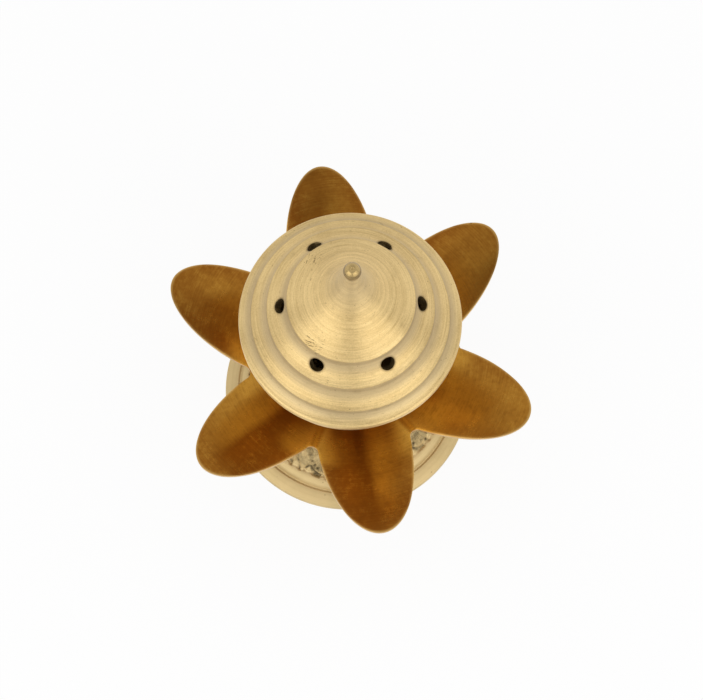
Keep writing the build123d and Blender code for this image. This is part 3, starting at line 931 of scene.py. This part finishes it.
def make_tie_bolt():
    head_z = BOLT_TOP - BOLT_HEAD_HEIGHT
    crown = BOLT_HEAD_HEIGHT - BOLT_HEAD_EDGE
    crown_curve = (BOLT_HEAD_RADIUS ** 2 + crown ** 2) / (2 * crown)
    crown_bow = crown_curve - sqrt(crown_curve ** 2 - (BOLT_HEAD_RADIUS ** 2 + crown ** 2) / 4)
    points = outline([
        (0, BOLT_POINT_Z),
        (BOLT_RADIUS - BOLT_CHAMFER, BOLT_POINT_Z),
        (BOLT_RADIUS, BOLT_POINT_Z + BOLT_CHAMFER),
        (BOLT_RADIUS, head_z),
        (BOLT_HEAD_RADIUS, head_z),
        (BOLT_HEAD_RADIUS, head_z + BOLT_HEAD_EDGE, 0, 0.2),
        (0, BOLT_TOP, -crown_bow),
    ], looped=False, step=THREAD_PITCH / 8)
    grid = spin(points, FASTENER_STEPS)
    turns = np.linspace(0, 1, FASTENER_STEPS, endpoint=False)
    level = points[:, 1:2]
    wave = np.abs(((level / THREAD_PITCH - turns) % 1) * 2 - 1)
    rod_edges = (1, 2)
    threaded = window(level, THREAD_START, THREAD_END) * np.isin(points[:, 2:3], rod_edges)
    share = 1 - THREAD_DEPTH / BOLT_RADIUS * wave * threaded
    grid[:, :, :2] *= share[:, :, None]
    piece = skin("slotted_bolt", grid, False)
    slot = bpy.data.meshes.new("slot")
    shell = bmesh.new()
    bmesh.ops.create_cube(shell, size=1)
    shell.to_mesh(slot)
    shell.free()
    sizes = (3 * BOLT_HEAD_RADIUS * MM, SLOT_WIDTH * MM, 2 * SLOT_DEPTH * MM)
    slot.transform(Matrix.Translation((0, 0, BOLT_TOP * MM)) @ Matrix.Diagonal((*sizes, 1)))
    cut(piece, add_object("slot", slot))
    return piece


def make_nut():
    flat_radius = NUT_CORNER_RADIUS * cos(pi / NUT_SIDES)
    outer_radius = flat_radius + 2 * NUT_CHAMFER
    mouth_radius = BOLT_RADIUS + NUT_BORE_CHAMFER
    corners = [
        (BOLT_RADIUS, NUT_Z + NUT_BORE_CHAMFER),
        (mouth_radius, NUT_Z),
        (flat_radius, NUT_Z),
        (outer_radius, NUT_Z + NUT_CHAMFER),
        (outer_radius, WASHER_Z - NUT_CHAMFER),
        (flat_radius, WASHER_Z),
        (mouth_radius, WASHER_Z),
        (BOLT_RADIUS, WASHER_Z - NUT_BORE_CHAMFER),
    ]
    steps = 2 * FASTENER_STEPS
    grid = spin(outline(corners, soft=NUT_EASE, step=NUT_STEP), steps)
    from_flat = (turns_round(steps) % (2 * pi / NUT_SIDES)) - pi / NUT_SIDES
    hexagon = np.minimum(flat_radius / np.cos(from_flat), NUT_CORNER_RADIUS - NUT_CORNER_TRIM) * MM
    radius = np.hypot(grid[:, :, 0], grid[:, :, 1])
    grid[:, :, :2] *= (np.minimum(radius, hexagon) / radius)[:, :, None]
    piece = skin("hexagon_nut", grid, True)
    piece.data.set_sharp_from_angle(angle=NUT_SHARP_ANGLE)
    return piece


def make_washer():
    corners = [
        (BOLT_HOLE_RADIUS, WASHER_Z),
        (WASHER_RADIUS, WASHER_Z, 0, 0.25),
        (WASHER_RADIUS, BOSS_Z),
        (BOLT_HOLE_RADIUS, BOSS_Z),
    ]
    return skin("plain_washer", spin(outline(corners, step=FINE_STEP), 2 * FASTENER_STEPS), True)


# Finishes

HEAD_ANISOTROPY = 0.6


def joined(operation, swapped=False):
    """Operator that joins a flow and another one or a number by a math node."""
    def join(flow, other):
        pair = {0: other, 1: flow} if swapped else {0: flow, 1: other}
        return flow.finish.node("ShaderNodeMath", {"operation": operation}, pair)

    return join


class Flow:
    """One output of a finish's nodes, which ordinary operators join to others."""

    __add__ = __radd__ = joined("ADD")
    __mul__ = __rmul__ = joined("MULTIPLY")
    __sub__ = joined("SUBTRACT")
    __rsub__ = joined("SUBTRACT", True)
    __lt__ = joined("LESS_THAN")
    highest = joined("MAXIMUM")

    def __init__(self, finish, socket):
        self.finish = finish
        self.socket = socket

    def eased(self, low, high):
        limits = {"Value": self, "From Min": low, "From Max": high}
        return self.finish.node("ShaderNodeMapRange", {"interpolation_type": "SMOOTHSTEP"}, limits)


class Finish:
    """The nodes of one material or of the surroundings."""

    def __init__(self, owner):
        owner.use_nodes = True
        self.owner = owner
        self.tree = owner.node_tree
        self.tree.nodes.clear()

    def node(self, kind, settings=(), sockets=(), out=0):
        made = self.tree.nodes.new(kind)
        for name, value in dict(settings).items():
            setattr(made, name, value)
        for name, value in dict(sockets).items():
            if isinstance(value, Flow):
                self.tree.links.new(value.socket, made.inputs[name])
            else:
                made.inputs[name].default_value = value
        return Flow(self, made.outputs[out] if made.outputs else None)

    def mix(self, share, first, second):
        """Colour between two colours."""
        return self.node("ShaderNodeMix", {"data_type": "RGBA"}, {0: share, 6: first, 7: second}, 2)

    def vector(self, operation, *inputs, out=0):
        return self.node("ShaderNodeVectorMath", {"operation": operation}, dict(enumerate(inputs)), out)

    def place(self):
        """Place on the piece, in metres."""
        return self.node("ShaderNodeTexCoord", out="Object")

    def mark(self, name):
        return self.node("ShaderNodeAttribute", {"attribute_name": name}, out="Fac")

    def noise(self, vector, scale, detail=2.0, roughness=0.5):
        sockets = {"Vector": vector, "Scale": scale, "Detail": detail, "Roughness": roughness}
        return self.node("ShaderNodeTexNoise", {}, sockets)

    def turning(self):
        """Radius and level as a vector. A pattern on it runs round the piece, as a lathe's marks do."""
        flat = self.vector("MULTIPLY", self.place(), (1, 1, 0))
        radius = self.vector("LENGTH", flat, out="Value")
        level = self.node("ShaderNodeSeparateXYZ", {}, {0: self.place()}, "Z")
        return self.node("ShaderNodeCombineXYZ", {}, {"X": radius, "Y": level})

    def specks(self, scale, size, share):
        """Scattered round specks: 1 inside them. Only a share of the cells has one."""
        sockets = {"Vector": self.place(), "Scale": scale}
        distance = self.node("ShaderNodeTexVoronoi", {}, sockets, "Distance")
        tone = self.node("ShaderNodeTexVoronoi", {}, sockets, "Color")
        chosen = self.node("ShaderNodeSeparateColor", {}, {0: tone}, "Red") < share
        return (1 - distance.eased(0.5 * size, size)) * chosen

    def metal(self, colour, roughness, height, depth, strength, anisotropy=0.0):
        """Close the finish with a metal shader whose bump is a height from 0 to 1 over a depth in metres.
        The sheen of an anisotropic one is drawn out across the rings that a lathe leaves."""
        bumps = {"Height": height, "Distance": depth, "Strength": strength}
        normal = self.node("ShaderNodeBump", {}, bumps)
        sockets = {
            "Base Color": colour,
            "Metallic": 1.0,
            "Roughness": roughness,
            "Normal": normal,
            "Anisotropic": anisotropy,
            "Anisotropic Rotation": 0.25,
        }
        shader = self.node("ShaderNodeBsdfPrincipled", {}, sockets)
        self.node("ShaderNodeOutputMaterial", {}, {"Surface": shader})
        return self.owner


def turned_brass(name, pale, deep, satin):
    """Turned brass: fine rings, a few pits, painted grey shade under the lips and painted shade in the
    creases and at the holes.
    """
    finish = Finish(bpy.data.materials.new(name))
    place = finish.place()
    turning = finish.vector("MULTIPLY_ADD", place, (0.05, 0.05, 0.05), finish.turning())
    fine = finish.noise(turning, 2600.0, 3.0, 0.7).eased(0.32, 0.68)
    wide = finish.noise(turning, 700.0, 2.0).eased(0.3, 0.7)
    grain = finish.noise(place, 3200.0, 2.0).eased(0.3, 0.7)
    clouds = finish.noise(place, 90.0, 4.0, 0.6).eased(0.3, 0.7)
    stains = finish.noise(place, 240.0, 5.0, 0.7).eased(0.55, 0.75)
    worn = finish.noise(place, 420.0, 3.0, 0.6)
    short_rings = finish.vector("MULTIPLY_ADD", place, (0.4, 0.4, 0.4), turning)
    flecks = finish.noise(short_rings, 3000.0, 3.0, 0.6)
    pits = finish.specks(900.0, 0.17, 0.12) * clouds.eased(0.4, 0.9)
    pits = pits.highest((flecks + 0.14 * finish.mark("pitted")).eased(0.67, 0.75))
    # On turned pieces this mark is painted shade in creases, along lips and at hole edges
    soil_and_shade = finish.mark("soil_and_shade") * (0.5 + 0.5 * worn.eased(0.3, 0.6))
    tone = finish.mix(0.35 * fine + 0.2 * wide + 0.25 * clouds + 0.2 * grain, deep, pale)
    # Painted grey shade under the lips and round the finial
    tone = finish.mix(finish.mark("shade") * 0.6, tone, (0.47, 0.375, 0.23, 1))
    tone = finish.mix(stains * 0.3, tone, (0.36, 0.25, 0.11, 1))
    tone = finish.mix(pits * 0.7, tone, (0.22, 0.14, 0.06, 1))
    # Painted shade
    tone = finish.mix(soil_and_shade * 0.8, tone, (0.12, 0.075, 0.03, 1))
    roughness = satin + 0.12 * fine + 0.06 * clouds + 0.25 * pits
    height = 0.6 * fine + 0.4 * wide - 0.8 * pits
    return finish.metal(tone, roughness, height, 0.00006, 0.7, anisotropy=HEAD_ANISOTROPY)


def petal_brass():
    """Sheet brass with a satin amber patina: mottled, brushed one way and with a painted highlight along
    its edges.
    """
    finish = Finish(bpy.data.materials.new("petal_amber"))
    place = finish.place()
    from_axis = finish.vector("MULTIPLY", finish.turning(), (1, 0, 0))
    strokes = finish.vector("MULTIPLY_ADD", place, (0, 0.05, 0.05), from_axis)
    lines = finish.noise(strokes, 3000.0, 3.0, 0.6).eased(0.3, 0.7)
    mottle = finish.noise(place, 900.0, 4.0, 0.6).eased(0.3, 0.7)
    clouds = finish.noise(place, 210.0, 4.0, 0.6).eased(0.3, 0.7)
    specks = finish.specks(240.0, 0.1, 0.06)
    rim = finish.mark("rim")
    tone = 0.3 * clouds + 0.35 * mottle + 0.35 * lines
    # This mark blends two ambers: the patina, with painted reflections, shade and light
    colour = finish.mix(finish.mark("darkness"), (0.55, 0.27, 0.038, 1), (0.27, 0.095, 0.011, 1))
    colour = finish.mix(0.35 * tone.eased(0.45, 0.95), colour, (0.17, 0.055, 0.006, 1))
    colour = finish.mix(0.25 * (1 - tone).eased(0.45, 0.95), colour, (0.66, 0.36, 0.06, 1))
    # Painted highlight along the edges
    colour = finish.mix(rim * 0.8, colour, (0.72, 0.46, 0.15, 1))
    colour = finish.mix(specks * 0.5, colour, (0.11, 0.045, 0.01, 1))
    roughness = 0.25 + 0.04 * mottle + 0.03 * lines + 0.03 * clouds
    height = 0.6 * lines + 0.4 * mottle - specks
    return finish.metal(colour, roughness, height, 0.000012, 0.35)


def foot_brass():
    """Cast and polished brass, with a dark patina left in the recesses of its leaves."""
    finish = Finish(bpy.data.materials.new("foot_cast_brass"))
    fine = finish.noise(finish.turning(), 1800.0, 2.0).eased(0.3, 0.7)
    clouds = finish.noise(finish.place(), 130.0, 4.0, 0.6).eased(0.3, 0.7)
    grain = finish.noise(finish.place(), 1300.0, 3.0)
    worn = finish.noise(finish.place(), 420.0, 4.0, 0.65).eased(0.2, 0.8)
    pits = finish.specks(700.0, 0.17, 0.12) * clouds
    soil_and_shade = finish.mark("soil_and_shade") * (0.35 + 1.1 * worn)
    tone = finish.mix(0.3 * fine + 0.7 * clouds, (0.56, 0.425, 0.205, 1), (0.70, 0.545, 0.285, 1))
    tone = finish.mix(pits * 0.6, tone, (0.16, 0.1, 0.04, 1))
    tone = finish.mix(soil_and_shade.eased(0.15, 0.95), tone, (0.15, 0.115, 0.06, 1))
    roughness = 0.52 + 0.08 * clouds + 0.2 * soil_and_shade
    height = 0.3 * fine + 0.7 * grain - 0.8 * pits
    return finish.metal(tone, roughness, height, 0.00003, 0.5, anisotropy=0.2)


def fastener_brass():
    """Plain machined brass of the bolt, nut and washer."""
    finish = Finish(bpy.data.materials.new("fastener_bright"))
    fine = finish.noise(finish.turning(), 3000.0, 2.0)
    clouds = finish.noise(finish.place(), 200.0, 4.0, 0.6)
    tone = finish.mix(0.4 * fine + 0.6 * clouds, (0.42, 0.28, 0.10, 1), (0.62, 0.44, 0.18, 1))
    roughness = 0.32 + 0.15 * clouds
    return finish.metal(tone, roughness, fine, 0.00002, 0.3)


# The assembly

head_finish = turned_brass("head_brass", (0.96, 0.73, 0.355, 1), (0.51, 0.347, 0.135, 1), satin=0.34)
body_finish = turned_brass("body_brass", (0.68, 0.50, 0.235, 1), (0.54, 0.38, 0.16, 1), satin=0.3)
ball_finish = turned_brass("ball_brass", (0.60, 0.435, 0.19, 1), (0.42, 0.29, 0.115, 1), satin=0.2)
fastener_finish = fastener_brass()
PIECES = (
    (make_foot, "foot", "stand", "foot_brass", foot_brass()),
    (make_stem, "stem", "stand", "turned_brass", body_finish),
    (make_flower, "petal_flower", "stand", "petal_brass", petal_brass()),
    (make_bowl, "bowl", "stand", "turned_brass", body_finish),
    (make_lid, "pierced_lid", "lid", "turned_brass", head_finish),
    (make_finial, "finial", "lid", "turned_brass", ball_finish),
    (make_tie_bolt, "tie_bolt", "stand", "fastener_brass", fastener_finish),
    (make_washer, "foot_washer", "stand", "fastener_brass", fastener_finish),
    (make_nut, "foot_nut", "stand", "fastener_brass", fastener_finish),
)
for make_piece, node, body, slot, finish in PIECES:
    piece = make_piece()
    piece.data.materials.clear()
    piece.data.materials.append(finish)
    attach(piece, body)
    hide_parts(node)


# Camera, at the photo's viewing angle

CAMERA_AZIMUTH = radians(18.0)
CAMERA_ELEVATION = radians(74.5)
CAMERA_ROLL = radians(2.55)
CAMERA_DISTANCE = 809.7
CAMERA_LENS = 172.2
AIM_LEVEL = 43.0
AIM_RIGHT = 0.56
AIM_DOWN = 0.93

front = Vector((sin(CAMERA_AZIMUTH), -cos(CAMERA_AZIMUTH), 0))
level_right = Vector((cos(CAMERA_AZIMUTH), sin(CAMERA_AZIMUTH), 0))
back = front * cos(CAMERA_ELEVATION) + Vector((0, 0, sin(CAMERA_ELEVATION)))
level_up = back.cross(level_right)
right = level_right * cos(CAMERA_ROLL) + level_up * sin(CAMERA_ROLL)
up = back.cross(right)
aim = Vector((0, 0, AIM_LEVEL)) + right * AIM_RIGHT - up * AIM_DOWN
facing = Matrix((right, up, back)).transposed().to_4x4()
camera = add_object("camera", bpy.data.cameras.new("camera"))
camera.data.lens = CAMERA_LENS
camera.data.clip_start = 0.01
camera.matrix_world = Matrix.Translation((aim + back * CAMERA_DISTANCE) * MM) @ facing
bpy.context.scene.camera = camera


# Floor, surroundings and lamps

FLOOR_RADIUS = 0.9
FLOOR_GLOW = 0.9  # share of the floor's white that shadows can't darken
ROOM_LIGHT = 0.56
BACK_LIGHT = 0.28
SIDE_LIGHT = 0.22
LOW_FRONT_LIGHT = 0.3
CAMERA_SHADE = 0.45  # how much darker the room is round the camera
LAMP_AZIMUTH = radians(42.0)
LAMP_ELEVATION = radians(30.0)
LAMP_DISTANCE = 0.9
LAMP_SIZE = 0.9
LAMP_POWER = 2.4


def make_floor():
    mesh = bpy.data.meshes.new("floor")
    shell = bmesh.new()
    bmesh.ops.create_circle(shell, cap_ends=True, segments=128, radius=FLOOR_RADIUS)
    shell.to_mesh(mesh)
    shell.free()
    floor = add_object("floor", mesh)
    finish = Finish(bpy.data.materials.new("floor_white"))
    path = "ShaderNodeLightPath"
    seen = finish.node(path, out="Is Camera Ray").highest(finish.node(path, out="Is Glossy Ray"))
    seen = seen.highest(finish.node(path, out="Is Transmission Ray"))
    paper = finish.node("ShaderNodeBsdfDiffuse", {}, {"Color": (0.92, 0.92, 0.92, 1)})
    glow = finish.node("ShaderNodeEmission", {}, {"Color": (1, 1, 1, 1), "Strength": 1.0})
    both = finish.node("ShaderNodeMixShader", {}, {0: seen * FLOOR_GLOW, 1: paper, 2: glow})
    finish.node("ShaderNodeOutputMaterial", {}, {"Surface": both})
    mesh.materials.append(finish.owner)


def light_surroundings():
    """A pale room, brightest at the back, the sides and low in front, and dim round the camera."""
    world = bpy.data.worlds.new("studio")
    bpy.context.scene.world = world
    finish = Finish(world)
    direction = finish.node("ShaderNodeTexCoord", out="Generated")
    height = finish.node("ShaderNodeSeparateXYZ", {}, {0: direction}, "Z")
    behind = finish.vector("DOT_PRODUCT", direction, -front, out="Value")
    aside = finish.vector("DOT_PRODUCT", direction, level_right, out="Value")
    aside = aside.highest(0 - aside)
    before = 0 - behind
    low_front = before.eased(0.2, 0.8) * (1 - height.eased(0.4, 0.75))
    by_camera = (1 - aside.eased(0.08, 0.3)) * before.eased(0.05, 0.3) * height.eased(0.5, 0.8)
    light = ROOM_LIGHT + BACK_LIGHT * behind.eased(-0.3, 0.45) + SIDE_LIGHT * aside.eased(0.3, 0.9)
    light = (light + LOW_FRONT_LIGHT * low_front) * (1 - CAMERA_SHADE * by_camera)
    shine = finish.mix(light, (0, 0, 0, 1), (1, 1, 1, 1))
    sky = finish.node("ShaderNodeBackground", {}, {"Color": shine, "Strength": 1.0})
    finish.node("ShaderNodeOutputWorld", {}, {"Surface": sky})


def add_softbox(name, azimuth):
    """Square lamp that faces the object from an azimuth seen from the camera, to its right above zero."""
    turn = CAMERA_AZIMUTH + azimuth
    out = cos(LAMP_ELEVATION)
    away = Vector((sin(turn) * out, -cos(turn) * out, sin(LAMP_ELEVATION)))
    lamp = add_object(name, bpy.data.lights.new(name, "AREA"))
    lamp.data.energy = LAMP_POWER
    lamp.data.size = LAMP_SIZE
    lamp.location = away * LAMP_DISTANCE + Vector((0, 0, AIM_LEVEL * MM))
    lamp.rotation_mode = "QUATERNION"
    lamp.rotation_quaternion = away.to_track_quat("Z", "Y")


make_floor()
light_surroundings()
add_softbox("front_left_lamp", -LAMP_AZIMUTH)
add_softbox("front_right_lamp", LAMP_AZIMUTH)
bpy.context.scene.view_settings.view_transform = "Standard"
